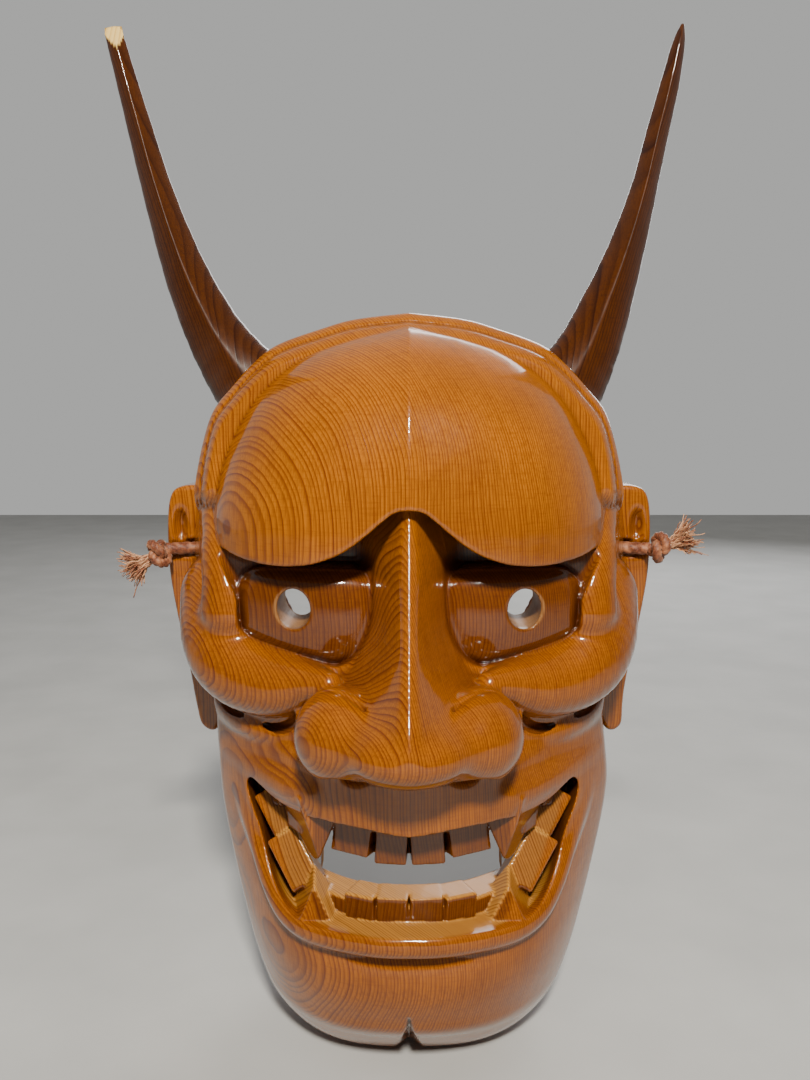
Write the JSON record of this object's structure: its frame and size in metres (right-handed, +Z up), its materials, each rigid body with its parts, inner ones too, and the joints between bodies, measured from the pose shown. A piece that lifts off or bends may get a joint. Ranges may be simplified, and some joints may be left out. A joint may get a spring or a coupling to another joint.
{
  "type": "demon mask",
  "caption": "Carved wooden horned demon mask with a hollow back, plug-in horns and a knotted tie cord; it hangs on a wall or is tied over the face.",
  "frame": {"origin": "on the wall plane that the back rim rests on, on the centre line, level with the cord holes", "axes": "+Z up along the face, -Y out of the face towards the viewer, +Y into the wall, +X to the viewer's right"},
  "size_m": [0.2028, 0.111, 0.3336],
  "materials": {
    "varnished_wood": "amber varnish, glossy, close straight grain",
    "horn_wood": "amber varnish, glossy, grain along the horn",
    "twisted_cord": "dark red-brown twisted silk cord, soft sheen",
    "frayed_cord": "loose salmon and copper threads"
  },
  "bodies": {
    "mask": {"face_shell": "varnished_wood", "cord": "twisted_cord", "cord_knot_left": "twisted_cord", "cord_knot_right": "twisted_cord", "cord_tuft_left": "frayed_cord", "cord_tuft_right": "frayed_cord"},
    "horn_left": {"horn_left": "horn_wood"},
    "horn_right": {"horn_right": "horn_wood"}
  },
  "joints": [
    {"name": "horn_left_pull", "type": "slide", "parent": "mask", "child": "horn_left", "axis": [-0.7071, 0, 0.7071], "range_m": [0, 0.02]},
    {"name": "horn_right_pull", "type": "slide", "parent": "mask", "child": "horn_right", "axis": [0.7071, 0, 0.7071], "range_m": [0, 0.02]}
  ]
}
